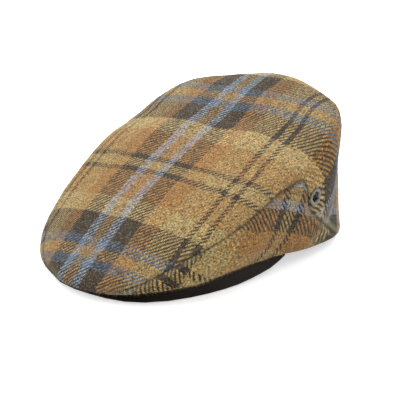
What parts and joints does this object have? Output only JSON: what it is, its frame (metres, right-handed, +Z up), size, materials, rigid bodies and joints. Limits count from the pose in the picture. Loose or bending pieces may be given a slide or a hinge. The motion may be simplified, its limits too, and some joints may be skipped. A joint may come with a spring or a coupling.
{
  "type": "flat cap",
  "caption": "Checked tweed flat cap with a one-piece top, triangular side panels, a dark stiff peak and metal vent eyelets; hollow, with an open head opening below.",
  "frame": {"origin": "on the table, under the middle of the cap's length and width", "axes": "+Z up, -Y towards the front of the peak, +X towards the wearer's left"},
  "size_m": [0.1966, 0.2671, 0.1136],
  "materials": {
    "tweed": "brushed wool tweed in a tan, brown, blue and gold check",
    "tweed_side": "the same tweed, cut on its own grain",
    "peak_cover": "soft matt dark brown",
    "eyelet_metal": "worn silvery metal"
  },
  "bodies": {
    "root": {"top_panel": "tweed", "side_panel_left": "tweed_side", "side_panel_right": "tweed_side", "peak": "peak_cover", "eyelet_left": "eyelet_metal", "eyelet_right": "eyelet_metal"}
  },
  "joints": []
}
